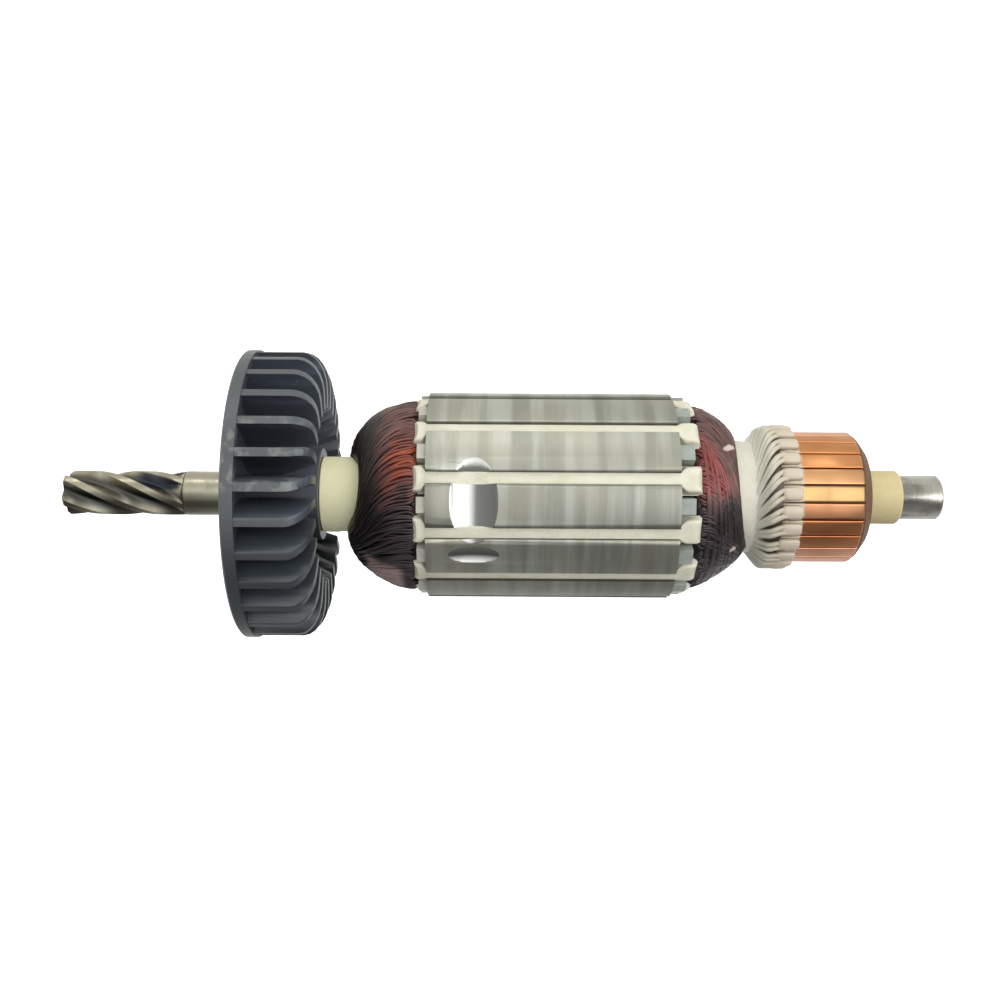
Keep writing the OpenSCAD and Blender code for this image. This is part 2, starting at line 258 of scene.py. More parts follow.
softbox("key_light", (0.02, -0.27, 0.58), (0.9, 0.14), 0.75)
fill_light = softbox("fill_light", (0.03, -0.3, -0.17), (0.24, 0.1), 0.26)
fill_light.visible_glossy = False

# ---------------------------------------------------------------------------
# Shaft. One piece of turned steel with a ground bearing seat at each end and
# a helical pinion cut on the drive end. Painted shade darkens its gaps and underside.
# ---------------------------------------------------------------------------
TEETH = 5
pinion_tip, pinion_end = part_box("shaft")[0].x / MM, -3.8
crest_r, root_r, crest_share, pinion_chamfer = 3.98, 2.55, 0.28, 0.45
lead, runout, pinion_phase = 50, 3.6, 9.4
fan_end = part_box("cooling_fan")[1].x / MM


def shade(red, green, blue):
    """Linear colour from the 0 to 255 values of a colour chart."""
    chart = (red / 255, green / 255, blue / 255)
    return tuple(((c + 0.055) / 1.055) ** 2.4 if c > 0.04 else c / 12.92 for c in chart)


steel = Finish("ground_steel", Metallic=1.0, Roughness=0.3)
rings = steel.noise(3.0, 4, (1, 0.02, 0.02))
fine_rings = steel.noise(14.0, 2, (1, 0.02, 0.02))
oil = steel.band(steel.noise(0.35, 3), 0.45, 0.7)
on_pinion = steel.band(steel.x, pinion_end + 0.4, pinion_end - 0.6)
# Painted shade in the gaps between the pinion's teeth.
gap_painted_shade = steel.band(steel.r, crest_r - 0.18, root_r + 0.15) * on_pinion
oily_end = steel.band(steel.x, fan_end - 1.9, pinion_end - 2.2)
# Painted shade on the underside of the drive end.
shaded_underside = oily_end * steel.band(steel.turn, 0.25, -0.1)
# Painted dark-blue shade deep between the teeth on their upper side.
cavity_shade_length = (steel.band(steel.x, pinion_end - 10.2, pinion_end - 7.2)
                * steel.band(steel.x, pinion_end - 0.1, pinion_end - 1.2))
cavity_shade = (cavity_shade_length * steel.band(steel.turn, 0.1, 0.35)
         * steel.band(steel.r, crest_r - 0.03, crest_r - 0.38))
steel_colour = steel.mix(rings, shade(180, 178, 171), shade(200, 198, 190))
steel_colour = steel.mix(oily_end * 0.7, steel_colour, shade(172, 166, 138))
steel_colour = steel.mix(oil * 0.4, steel_colour, shade(124, 120, 104))
steel_colour = steel.mix(shaded_underside * 0.75, steel_colour, shade(92, 88, 78))
steel_colour = steel.mix(gap_painted_shade * 0.85, steel_colour, shade(56, 58, 60))
steel_colour = steel.mix(cavity_shade * 0.9, steel_colour, shade(44, 48, 60))
steel.set(Base_Color=steel_colour, Roughness=0.15 + rings * 0.1 + oil * 0.08 + oily_end * 0.06)
steel.bump(fine_rings + rings, 0.012)


def piece(name, mesh, finish):
    """A finished piece of the object: it rides with the frame."""
    made = bpy.data.objects.new(name, mesh)
    scene.collection.objects.link(made)
    made.data.materials.append(finish.material)
    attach(made, "root")
    return made


def smooth_piece(name, solid, finish, crease=50, faces_out=False):
    """Piece made from a bmesh, with sharp edges past crease degrees.
    Its faces are turned outwards, unless faces_out says that they point there already."""
    if not faces_out:
        bmesh.ops.recalc_face_normals(solid, faces=solid.faces)
    mesh = bpy.data.meshes.new(name)
    solid.to_mesh(mesh)
    solid.free()
    mesh.shade_smooth()
    mesh.set_sharp_from_angle(angle=math.radians(crease))
    return piece(name, mesh, finish)


def finished(name, finish, cad_names, bevel=0.0, crease=32):
    """A piece that stands for CAD nodes: their triangles joined, and its edges rounded by bevel mm."""
    solid = bmesh.new()
    for cad_name in cad_names:
        solid.from_mesh(nodes[cad_name].data)
    bmesh.ops.remove_doubles(solid, verts=solid.verts, dist=0.0005 * MM)
    bmesh.ops.dissolve_limit(solid, angle_limit=math.radians(0.5), verts=solid.verts, edges=solid.edges)
    made = smooth_piece(name, solid, finish, crease, faces_out=True)
    if bevel:
        rounding = made.modifiers.new("rounding", "BEVEL")
        rounding.width = bevel * MM
        rounding.segments = 2
        rounding.limit_method = "ANGLE"
        rounding.angle_limit = math.radians(crease)
        rounding.use_clamp_overlap = True
        rounding.harden_normals = True
    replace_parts(made, *cad_names)
    return made


def ring_point(x, r, angle):
    """Point in mm at station x and radius r, at an angle counted from the near side upwards."""
    a = math.radians(angle)
    return Vector((x, -r * math.cos(a), r * math.sin(a)))


def loft(solid, rings):
    """Adds a closed solid through rings of points with the same count, and returns its vertices.
    The points are joined in their order and not to the nearest, as a helix and a thin wire need."""
    rows = [[solid.verts.new(point) for point in ring] for ring in rings]
    for low_row, high_row in zip(rows, rows[1:]):
        for k in range(len(low_row)):
            n = (k + 1) % len(low_row)
            solid.faces.new((low_row[k], high_row[k], high_row[n], low_row[n]))
    solid.faces.new(rows[0])
    solid.faces.new(reversed(rows[-1]))
    return [vert for row in rows for vert in row]


def tooth_r(u, to_end):
    """Radius at share u of a tooth pitch, with to_end mm to go before the cutter leaves the shaft."""
    from_crest = max(abs(u - 0.5) * 2 - crest_share, 0) / (1 - crest_share)
    form = crest_r - (crest_r - root_r) * math.sin(math.radians(90 * from_crest)) ** 0.7
    leaving = crest_r - (crest_r - root_r) * (to_end / runout) ** 0.6 if to_end < runout else 0
    return max(form, leaving)


turned_shaft = finished("shaft_finish", steel, ["shaft"])
seat_part = bmesh.new()
seat_part.from_mesh(turned_shaft.data)
everything = [*seat_part.verts, *seat_part.edges, *seat_part.faces]
bmesh.ops.bisect_plane(seat_part, geom=everything, dist=0.001 * MM, plane_co=((pinion_end + 0.02) * MM, 0, 0),
                       plane_no=(1, 0, 0), clear_inner=True)
bmesh.ops.holes_fill(seat_part, edges=[e for e in seat_part.edges if e.is_boundary], sides=0)
seat_part.to_mesh(turned_shaft.data)
seat_part.free()

steps_round, steps_along = 24 * TEETH, 84
pinion_len = pinion_end - pinion_tip
advance = [pinion_chamfer * k / 3 for k in range(3)]
full_len = pinion_len - pinion_chamfer
advance += [pinion_chamfer + full_len * k / steps_along for k in range(steps_along + 1)]
pinion_rings = []
for s in advance:
    ring = []
    for k in range(steps_round):
        share = k / steps_round
        r = min(tooth_r(share * TEETH % 1, pinion_len - s), crest_r - max(pinion_chamfer - s, 0))
        ring.append(ring_point(pinion_tip + s, r, 360 * (share - s / lead) + pinion_phase) * MM)
    pinion_rings.append(ring)
pinion = bmesh.new()
loft(pinion, pinion_rings)
smooth_piece("pinion_teeth", pinion, steel)

# ---------------------------------------------------------------------------
# Insulating sleeves. Cream moulded tubes: the long one between shaft and core
# shows as a collar beside the fan, the short one sits behind the commutator
# and has yellowed more.
# ---------------------------------------------------------------------------
pale_to, yellow_from = 60, 110
cream = Finish("cream_moulding", Roughness=0.55, Specular_IOR_Level=0.4)
mottle = cream.noise(0.8, 4)
by_fan = cream.mix(mottle, shade(244, 240, 192), shade(252, 250, 214))
by_seat = cream.mix(mottle, shade(198, 184, 134), shade(218, 203, 158))
cream.set(Base_Color=cream.mix(cream.band(cream.x, pale_to, yellow_from), by_fan, by_seat),
          Roughness=0.45 + mottle * 0.25)
cream.bump(cream.noise(5, 3), 0.03)
finished("core_sleeve", cream, ["insulating_sleeve"], bevel=0.3)
finished("end_sleeve", cream, ["rear_sleeve"])

# ---------------------------------------------------------------------------
# Fan. One moulding in black filled plastic: hub, back plate with a rim, and
# leaning blades. The edges have worn to grey, and dust lies by the rim.
# ---------------------------------------------------------------------------
fan_r = -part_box("cooling_fan")[0].y / MM
fan_plastic = Finish("fan_plastic", Roughness=0.42, Specular_IOR_Level=0.65)
scuffs = fan_plastic.noise(1.2, 4)
at_rim = fan_plastic.band(fan_plastic.r, fan_r - 0.7, fan_r - 0.4)
# Painted shade: the lower half of the fan is darker, most of all at the bottom.
lower_side_shade = fan_plastic.band(fan_plastic.turn, 0.15, -0.7) * 0.72
lower_side_shade += fan_plastic.band(fan_plastic.turn, -0.75, -1.15) * 0.24
dust = (fan_plastic.band(fan_plastic.noise(0.5, 4), 0.5, 0.62)
        * fan_plastic.band(fan_plastic.r, fan_r - 4.5, fan_r - 2.5)
        * fan_plastic.band((fan_plastic.turn - 0.25).math("ABSOLUTE"), 0.35, 0.15))
black = fan_plastic.mix(scuffs, shade(62, 68, 80), shade(82, 88, 97))
black = fan_plastic.mix(at_rim * (0.3 + scuffs * 0.7), black, shade(76, 80, 80))
black = fan_plastic.mix(lower_side_shade, black, shade(36, 43, 46))
black = fan_plastic.mix(dust * 0.55, black, shade(128, 134, 128))
fan_plastic.set(Base_Color=black, Roughness=0.28 + scuffs * 0.2)
fan_plastic.bump(fan_plastic.noise(4, 3), 0.02)
finished("fan_moulding", fan_plastic, ["cooling_fan"], bevel=0.22)

# ---------------------------------------------------------------------------
# Core. Half-millimetre sheets of electrical steel, pressed on, turned outside
# and dipped in clear varnish. The balance cuts near the drive end are bright.
# ---------------------------------------------------------------------------
SLOTS = 12
SLOT_PITCH = 360 / SLOTS
first_slot = 9.4
core_low, core_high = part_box("core_laminations")
core_x, core_end, core_r = core_low.x / MM, core_high.x / MM, core_high.z / MM
cut_x, cutter_r, cut_depth, cut_angle = core_x + 8.2, 6.3, 1.45, -3.2
groove_half, groove_turn = 4.9, -0.583
lamination = Finish("lamination_steel", Metallic=0.9, Roughness=0.4)
sheets = lamination.noise(2.0, 2, (1, 0.01, 0.01))
streak = lamination.noise(0.35, 4, (1, 0.06, 0.1), around=18)
patch = lamination.noise(0.1, 3)

cut_up, cut_near = math.sin(math.radians(cut_angle)), math.cos(math.radians(cut_angle))
toward_cut = lamination.z * cut_up - lamination.y * cut_near
cutter_up = core_r - cut_depth + cutter_r - toward_cut
cutter_along = lamination.x - cut_x
from_cutter = (cutter_up * cutter_up + cutter_along * cutter_along).math("SQRT")
flat = (lamination.band((from_cutter - cutter_r).math("ABSOLUTE"), 0.08, 0.04)
        * lamination.band(toward_cut, 10, 12))
groove = (lamination.band(cutter_along.math("ABSOLUTE"), groove_half + 0.1, groove_half - 0.1)
          * lamination.band((lamination.turn - groove_turn).math("ABSOLUTE"), 0.1, 0.08)
          * lamination.band(lamination.r, core_r - 0.02, core_r - 0.04))
# Darker towards the commutator end and by the drive end face on the near side, and painted shade along the
# bottom.
darker_and_painted_shade = (lamination.band(lamination.x, core_x + 19.5, core_x + 33.5) * 0.22
        + lamination.band(lamination.turn, -0.82, -0.94) * 0.4)
darker_and_painted_shade += (lamination.band(lamination.x, core_x + 5.5, core_x + 4)
         * lamination.band(lamination.turn, 0.14, 0.1)
         * lamination.band(lamination.turn, -0.4, -0.36) * 0.6)
# Painted shade on the slot walls and the rounded tooth edges, below the core's outside.
slot_painted_shade = lamination.band(lamination.r, core_r - 0.03, core_r - 0.15)
cut_shadow = (lamination.band(lamination.x, cut_x - 0.8, cut_x + 0.6)
              * lamination.band(lamination.turn, 0.2, 0.13))
cut_colour = lamination.mix(cut_shadow, shade(206, 206, 202), shade(120, 120, 117))
# Painted highlight along the groove's lower edge, and painted shade over its upper half.
groove_shaded_upper = lamination.band(lamination.turn, -0.625, -0.59)
groove_glint_and_shade = lamination.mix(groove_shaded_upper, shade(250, 250, 247), shade(124, 128, 124))
base = lamination.mix(lamination.band(streak, 0.38, 0.62), shade(160, 161, 150), shade(192, 193, 184))
base = lamination.mix(lamination.band(patch, 0.4, 0.65) * 0.5, base, shade(178, 177, 160))
base = lamination.mix(darker_and_painted_shade, base, shade(104, 104, 96))
base = lamination.mix(slot_painted_shade * 0.75, base, shade(64, 66, 61))
base = lamination.mix(flat, base, cut_colour)
base = lamination.mix(groove, base, groove_glint_and_shade)
lamination.set(Base_Color=base, Roughness=0.42 - flat * 0.1 - groove * 0.1 + sheets * 0.08 - streak * 0.06)
lamination.bump(sheets + lamination.noise(6, 2, (1, 0.05, 0.05)) * 0.5, 0.03)

# Each tooth is rounded along the edge above its slot, and stays sharp along the other.
core = finished("core_stack", lamination, ["core_laminations"])
tooth_edges = core.data.attributes.new("bevel_weight_edge", "FLOAT", "EDGE")
for edge in core.data.edges:
    low, high = (core.data.vertices[v].co for v in edge.vertices)
    lengthwise = abs(high.x - low.x) > 0.98 * (high - low).length
    at_mouth = min(low.yz.length, high.yz.length) > (core_r - 0.1) * MM
    if edge.use_edge_sharp and lengthwise and at_mouth:
        past_slot = (math.degrees(math.atan2(low.z, -low.y)) - first_slot) % SLOT_PITCH
        tooth_edges.data[edge.index].value = 1 if past_slot < SLOT_PITCH / 2 else 0
rounding = core.modifiers.new("rounding", "BEVEL")
rounding.width = 0.5 * MM
rounding.segments = 3
rounding.limit_method = "WEIGHT"
rounding.use_clamp_overlap = False
rounding.harden_normals = True

# ---------------------------------------------------------------------------
# End insulators. Stars of pressed fibre under varnish, one on each face of
# the core. The one by the commutator is the greener.
# ---------------------------------------------------------------------------


def dress(finish, *names):
    """Gives CAD nodes their finish."""
    for name in names:
        nodes[name].data.materials.clear()
        nodes[name].data.materials.append(finish.material)


fibre = Finish("pressed_fibre", Roughness=0.5, Coat_Weight=0.3, Coat_Roughness=0.2)
fibre_mottle = fibre.noise(0.9, 4)
warm_fibre = fibre.mix(fibre_mottle, shade(158, 160, 148), shade(198, 194, 180))
cool_fibre = fibre.mix(fibre_mottle, shade(132, 142, 137), shade(170, 177, 168))
fibre.set(Base_Color=fibre.mix(fibre.band(fibre.x, core_x + 19.5, core_x + 23.5), warm_fibre, cool_fibre))
fibre.bump(fibre.noise(4, 3), 0.04)
dress(fibre, "drive_end_insulator", "commutator_end_insulator")

# ---------------------------------------------------------------------------
# Slot liners and wedges. Cream insulating paper folded into each slot, and an
# off-white fibre strip slid in over the coils to close the mouth. The strips'
# ends open into cuffs, and the balance cut has gone through some of them.
# ---------------------------------------------------------------------------
paper = Finish("insulating_paper", Roughness=0.55, Coat_Weight=0.25, Coat_Roughness=0.2)
paper_mottle = paper.noise(0.6, 4, (0.5, 1, 1))
paper_colour = paper.mix(paper_mottle, shade(202, 200, 176), shade(228, 226, 209))
paper_stain = paper.band(paper.noise(0.3, 4, (0.4, 1, 1)), 0.56, 0.72)
paper.set(Base_Color=paper.mix(paper_stain * 0.5, paper_colour, shade(196, 186, 150)))
paper.bump(paper.noise(3, 3) + paper.noise(0.7, 2) * 2, 0.06)
dress(paper, *[f"slot_liner_{i:02d}" for i in range(1, SLOTS + 1)])

liner_low, liner_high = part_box("slot_liner_01")
cuff_x, rear_cuff_x = liner_low.x / MM, liner_high.x / MM
rib_half, cuff_half, foot_half = 1.05, 2.2, 2.4
rib_top, foot_r = core_r - 0.6, 15.9


def wedge_ring(x, angle, spread=0.0, end=0.0):
    """Section of a wedge: spread is 0 for the narrow rib and 1 for the cuff, and end is 1 at its free end."""
    half = rib_half + (cuff_half - rib_half) * spread - 0.25 * end ** 4
    high = rib_top - 0.35 * spread - 0.45 * end ** 2
    soft = 0.12 + 0.45 * spread
    side = [(half, rib_top - 1.3)]
    for k in range(5):
        a = math.radians(22.5 * k)
        side.append((half - soft * (1 - math.cos(a)), high - soft * (1 - math.sin(a))))
    side.append((half * 0.4, high + 0.08 * spread))
    outline = [(foot_half, foot_r), *side, *[(-u, v) for u, v in reversed(side)], (-foot_half, foot_r)]
    cutter = max(cutter_r ** 2 - (x - cut_x) ** 2, 0) ** 0.5
    cut_floor = core_r - cut_depth + cutter_r - cutter
    ring = []
    for u, v in outline:
        a = angle + math.degrees(math.atan2(u, v))
        off_cut = math.radians(a - cut_angle)
        r = math.hypot(u, v)
        if cutter and abs(off_cut) < 0.6:
            r = min(r, cut_floor / math.cos(off_cut))
        notch = 0.9 * end * max(1 - (u / cuff_half) ** 2, 0) * (1 if x < cut_x else -1)
        ring.append(ring_point(x + notch, r, a) * MM)
    return ring


def cuff(free_x, core_face, angle):
    """Sections of one end of a wedge, from its free end to the core's face."""
    rings = []
    for share in (0, 0.12, 0.25, 0.4, 0.55, 0.7, 0.8, 0.88, 0.94, 0.98, 1):
        x = free_x + (core_face - free_x) * share
        rings.append(wedge_ring(x, angle, min((1 - share) / 0.3, 1) ** 0.6, max(1 - share / 0.4, 0)))
    return rings


wedges = bmesh.new()
for i in range(SLOTS):
    angle = first_slot + SLOT_PITCH * i
    by_cut = [wedge_ring(cut_x + 0.45 * k, angle) for k in range(-10, 11)]
    loft(wedges, cuff(cuff_x, core_x, angle) + by_cut + cuff(rear_cuff_x, core_end, angle)[::-1])
wedge_piece = smooth_piece("slot_wedges", wedges, paper)
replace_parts(wedge_piece, *[f"slot_wedge_{i:02d}" for i in range(1, SLOTS + 1)])

# ---------------------------------------------------------------------------
# Winding. Twelve coils of enamelled copper wire, varnished into one dark red
# mass. The wires leave each slot along the shaft and swing round it towards
# the neck. At the commutator end the two coils wound last lie over the others.
# ---------------------------------------------------------------------------
wire_r = 0.27
wound_low, wound_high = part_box("armature_winding")
chance = random.Random(12)

enamel = Finish("wire_enamel", Metallic=0.15, Roughness=0.32, Coat_Weight=0.3, Coat_Roughness=0.2)
tint = enamel.add("ShaderNodeAttribute", {"attribute_name": "tint"}, {}, "Fac")
# Noise that ruffles the edges of the painted highlights and shade below.
mask_jitter = enamel.noise(0.25, 3) - 0.5
soak = enamel.band(enamel.noise(0.16, 3), 0.42, 0.62)
# Mask of the upper wires; those from about the shaft's level down get painted shade.
above = enamel.band(enamel.turn + mask_jitter * 0.9, -0.22, 0.12)
# Painted highlight: orange on the top front of the drive end head, by the core.
front_highlight = (enamel.band(enamel.turn + mask_jitter * 0.6, 0.0, 0.25)
              * enamel.band(enamel.turn + mask_jitter * 0.5, 0.72, 0.55)
              * enamel.band(enamel.x + mask_jitter * 6, cuff_x - 5.6, cuff_x - 2.1)
              * enamel.band(enamel.x, core_x + 9.5, core_x + 4.5))
# Painted highlight: red on the top front of the commutator end head, along the last coils.
past_cuff = enamel.x + enamel.turn * 7.5 + mask_jitter * 3 - rear_cuff_x
rear_highlight = (enamel.band(past_cuff, -1.9, 0.6) * enamel.band(past_cuff, 7.6, 5.1)
             * enamel.band(enamel.turn + mask_jitter * 0.5, -0.2, 0.1) * enamel.band(enamel.turn, 0.8, 0.6))
# Painted shade on the drive end head's side by the sleeve.
sleeve_side_shade = enamel.band(enamel.x + mask_jitter * 3, cuff_x - 3.6, cuff_x - 7.6)
# Painted highlight: a light patch low on the near side of the drive end head.
low_highlight_patch = (enamel.band(enamel.turn, -0.8, -0.95) * enamel.band(enamel.turn, -1.45, -1.3)
                * enamel.band(enamel.x, cuff_x - 9.1, cuff_x - 7.6)
                * enamel.band(enamel.x, cuff_x - 1.1, cuff_x - 3.1))


def varnish_drop(x, turn, size, length=0.0):
    """Mask of a drop of varnish, drawn out by length to up and right."""
    dx, dy = enamel.x - x, (enamel.turn - turn) * 13
    across, along = (dx - dy) * 0.7 / size, (dx + dy) * 0.7 / (size + length)
    return enamel.band((across * across + along * along).math("SQRT"), 1.2, 0.7)


drops = varnish_drop(rear_cuff_x - 1.4, -0.4, 0.5) + varnish_drop(rear_cuff_x + 6.4, -0.77, 0.6)
drops += varnish_drop(rear_cuff_x + 5.5, 0.69, 0.45, 1.4)
enamel_colour = enamel.mix(tint, shade(52, 32, 32), shade(126, 82, 76))
enamel_colour = enamel.mix(soak * 0.5, enamel_colour, shade(56, 42, 42))
enamel_colour = enamel.mix(front_highlight * (0.2 + tint * 0.8), enamel_colour, shade(168, 76, 44))
enamel_colour = enamel.mix(rear_highlight * (0.2 + tint * 0.7), enamel_colour, shade(146, 58, 51))
# Painted shade: the wires low on each head are darkened nearly to black.
enamel_colour = enamel.mix(0.9 - above * 0.9, enamel_colour, shade(34, 27, 31))
enamel_colour = enamel.mix(sleeve_side_shade * 0.9, enamel_colour, shade(26, 20, 19))
enamel_colour = enamel.mix(low_highlight_patch * 0.85, enamel_colour, shade(168, 142, 140))
enamel_colour = enamel.mix(drops, enamel_colour, shade(206, 190, 182))
enamel.set(Base_Color=enamel_colour, Roughness=0.3 + soak * 0.25)
enamel.bump(enamel.noise(3, 3), 0.03)


def ease(t):
    """0 to 1 with a level start and end."""
    t = min(max(t, 0.0), 1.0)
    return t * t * (3 - 2 * t)


def wave(turns):
    """Sine of a number of full turns."""
    return math.sin(2 * math.pi * turns)


def wire_piece(name, routes, radius, sides, lean, finish):
    """Piece of round wires. Each route is a list of points in mm with the wire's tint.
    lean tips the frame of the rings along the shaft, so that no wire runs along it."""
    wires = bmesh.new()
    tint_layer = wires.verts.layers.float.new("tint")
    turns = [2 * math.pi * s / sides for s in range(sides)]
    for route, wire_tint in routes:
        rings = []
        for k, point in enumerate(route):
            ahead = (route[min(k + 1, len(route) - 1)] - route[max(k - 1, 0)]).normalized()
            side = ahead.cross(Vector((lean * point.yz.length, point.y, point.z))).normalized()
            up = side.cross(ahead)
            rings.append([(point + radius * (math.cos(a) * up + math.sin(a) * side)) * MM for a in turns])
        for vert in loft(wires, rings):
            vert[tint_layer] = wire_tint
    return smooth_piece(name, wires, finish, crease=180)


def lathe(profile, steps, uneven=None):
    """Solid of revolution round the shaft from a closed profile of [x, r]. uneven(x, angle) adds to r."""
    solid = bmesh.new()
    line = [solid.verts.new(ring_point(x, r, 0) * MM) for x, r in profile]
    edges = [solid.edges.new(pair) for pair in zip(line, line[1:] + line[:1])]
    bmesh.ops.spin(solid, geom=line + edges, cent=(0, 0, 0), axis=(1, 0, 0), dvec=(0, 0, 0),
                   angle=2 * math.pi, steps=steps, use_merge=True)
    if uneven:
        for vert in solid.verts:
            x, r = vert.co.x / MM, vert.co.yz.length / MM
            angle = math.degrees(math.atan2(vert.co.z, -vert.co.y))
            vert.co = ring_point(x, r + uneven(x, angle), angle) * MM
    return solid


class WindingHead:
    """One end of the winding, from radius outer at start, by the core, to radius inner at its tip.
    The tip is lower by hollow at the angle hollow_at, and narrow is how fast that fades round the shaft."""

    def __init__(self, end, start, tip, outer, inner, bulge, hollow, hollow_at, narrow):
        self.end, self.start, self.tip = end, start, tip
        self.outer, self.inner, self.bulge = outer, inner, bulge
        self.hollow, self.hollow_at, self.narrow = hollow, hollow_at, narrow
        self.away = math.copysign(1, tip - start)

    def surface(self, t, angle):
        """Station and radius of the outside, where t runs from 0 at the start to 1 at the tip."""
        a = math.radians(90 * max(t, 0))
        facing = max(math.cos(math.radians(angle - self.hollow_at)), 0)
        dip = self.hollow * facing ** self.narrow * max(t, 0) ** 2.2
        x = self.start + (self.tip - self.start) * math.sin(a) ** (2 / self.bulge)
        r = self.inner + (self.outer - self.inner) * max(math.cos(a), 0) ** (2 / self.bulge)
        return x + (min(t, 0) * 12 - dip) * self.away, r

    def body(self):
        """The dark mass that shows between the wires."""
        outside = []
        for k in range(17):
            x, r = self.surface(0.96 * k / 16, self.hollow_at)
            outside.append((x, r - 1.15))
        behind, bore = self.start - 0.9 * self.away, outside[-1][1] - 2
        profile = [(behind, bore), (behind, outside[0][1] + 0.5), *outside, (outside[-1][0], bore)]
        mass = lathe(profile, 72)
        made = smooth_piece(f"{self.end}_winding_body", mass, enamel, crease=180)
        made.data.attributes.new("tint", "FLOAT", "POINT")

    def end_turn(self, slot, across, depth, swing):
        """Route of a wire that leaves a slot at across of its pitch and swings by that many degrees."""
        bend, ripple = chance.random(), chance.random()
        route = []
        for t in (-0.075, -0.03, 0.02, 0.06, 0.11, 0.17, *[0.08 * k for k in range(3, 12)], 0.97):
            spread = 0.8 + 0.19 * ease((t + 0.075) / 0.12)
            angle = (first_slot + SLOT_PITCH * (slot + across * spread) - swing * max(t, 0) ** 2.3
                     + 1.3 * ease(t / 0.3) * wave(1.2 * t + bend))
            x, r = self.surface(t, angle)
            crown = 0.45 * math.cos(math.pi * across) * (1 - t)
            emerging = 0.5 * (1 - ease((t + 0.08) / 0.1))
            route.append(ring_point(x, r + crown - depth - emerging + 0.12 * wave(2.1 * t + ripple), angle))
        return route

    def end_turns(self):
        """Two layers of wires from every slot."""
        routes = []
        for layer, (count, depth, sweep) in enumerate(((16, 0.95, 66), (17, 0.45, 84))):
            for slot in range(SLOTS):
                for j in range(count):
                    across = (j + 0.5) / count - 0.5 + chance.uniform(-0.02, 0.02)
                    route = self.end_turn(slot, across, depth, sweep + chance.uniform(-9, 9))
                    routes.append((route, chance.uniform(0, 0.7) + 0.15 * layer))
        name = f"{self.end}_winding_wires"
        return wire_piece(name, routes, wire_r, 6, self.away, enamel)

    def last_turn(self, leaving, climb):
        """Route of a wire that climbs over the head and comes down 150 degrees further on."""
        across = chance.uniform(-0.5, 0.5)
        depth = 0.1 + 0.4 * chance.random()
        bend, ripple = chance.random(), chance.random()
        route = []
        for k in range(37):
            s = k / 36
            arch = math.sin(math.pi * s)
            t = climb * max(arch, 0) ** 0.75 - 0.06 * (1 - ease(s / 0.05) * ease((1 - s) / 0.05))
            angle = (leaving + 14 * across * (1 - 0.4 * arch) - 150 * (s - 0.62 * wave(s) / (2 * math.pi))
                     + 1.2 * arch * wave(1.5 * s + bend))
            x, r = self.surface(t, angle)
            emerging = 1.3 * (1 - ease((t + 0.02) / 0.1))
            route.append(ring_point(x, r + 0.1 * wave(3.3 * s + ripple) - depth - emerging, angle))
        return route

    def last_coils(self, lowest, highest):
        """The two coils wound last, opposite each other. Their wires climb from lowest to highest."""
        routes = []
        count = 36
        for leaving in (first_slot + SLOT_PITCH, first_slot + SLOT_PITCH + 180):
            for j in range(count):
                climb = lowest + (highest - lowest) * (j + 0.5) / count + chance.uniform(-0.02, 0.02)
                route = self.last_turn(leaving, climb)
                routes.append((route, chance.uniform(0.2, 1.0)))
        return wire_piece(f"{self.end}_last_coils", routes, wire_r, 6, self.away, enamel)


drive_head = WindingHead("drive_end", cuff_x, wound_low.x / MM, outer=16.9, inner=7.2, bulge=1.85,
                         hollow=3.4, hollow_at=14, narrow=2)
drive_head.body()
drive_head.end_turns()
commutator_head = WindingHead("commutator_end", rear_cuff_x, wound_high.x / MM, outer=16.4, inner=9.8,
                              bulge=1.35, hollow=3.3, hollow_at=28, narrow=1)
commutator_head.body()
commutator_head.end_turns()
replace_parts(commutator_head.last_coils(0.12, 0.8), "armature_winding")

# ---------------------------------------------------------------------------
# Coil leads. The coil ends twist up from the neck to the hooks under thick
# white varnish, which fills the grooves at the neck.
# ---------------------------------------------------------------------------
BARS = 24
BAR_PITCH = 360 / BARS
first_bar = 2.7
neck_x, bar_x = wound_high.x / MM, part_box("commutator_bar_01")[0].x / MM
neck_r, cone_rise, lead_r, lead_bore = 10.1, 2.8, 0.495, 7.5

varnish = Finish("white_varnish", Roughness=0.45, Coat_Weight=0.3, Coat_Roughness=0.2)
varnish_mottle = varnish.noise(0.8, 4)
# Per-vertex darkening: a light dirt, and painted shade in the grooves and at the hooks' roots.
grime = varnish.add("ShaderNodeAttribute", {"attribute_name": "grime"}, {}, "Fac")
at_hooks = varnish.band(varnish.x, bar_x - 1.5, bar_x + 0.5)
varnish_colour = varnish.mix(varnish_mottle, shade(206, 204, 188), shade(228, 225, 210))
varnish_colour = varnish.mix(at_hooks * 0.75, varnish_colour, shade(216, 200, 176))
varnish.set(Base_Color=varnish.mix(grime, varnish_colour, shade(92, 78, 66)))
varnish.bump(varnish.noise(2.5, 3), 0.05)


def cone(x):
    """Radius over the leads at station x: level at the neck, then up to the hooks."""
    return neck_r + cone_rise * ease((x - neck_x - 0.5) / (bar_x - neck_x - 1.2))


def lay(hook_angle):
    """Degrees the coil ends turn between neck and hook. They fan out from below on the near side."""
    return 34 + 28 * math.sin(math.radians(hook_angle + 10))


def uneven_varnish(x, angle):
    """How far the varnish between the leads stands out there."""
    return 0.1 * math.sin(math.radians(7 * angle) + x) * math.sin(math.radians(3 * angle))


def lead_grime_and_shade(x, r):
    """Painted shade in the grooves between the leads, darker the deeper they lie, over a light dirt, from the
    neck on.
    """
    return (0.2 + 0.75 * ease((cone(x) - 0.15 - r) / 0.5)) * ease((x - neck_x - 0.8) / 1.5)


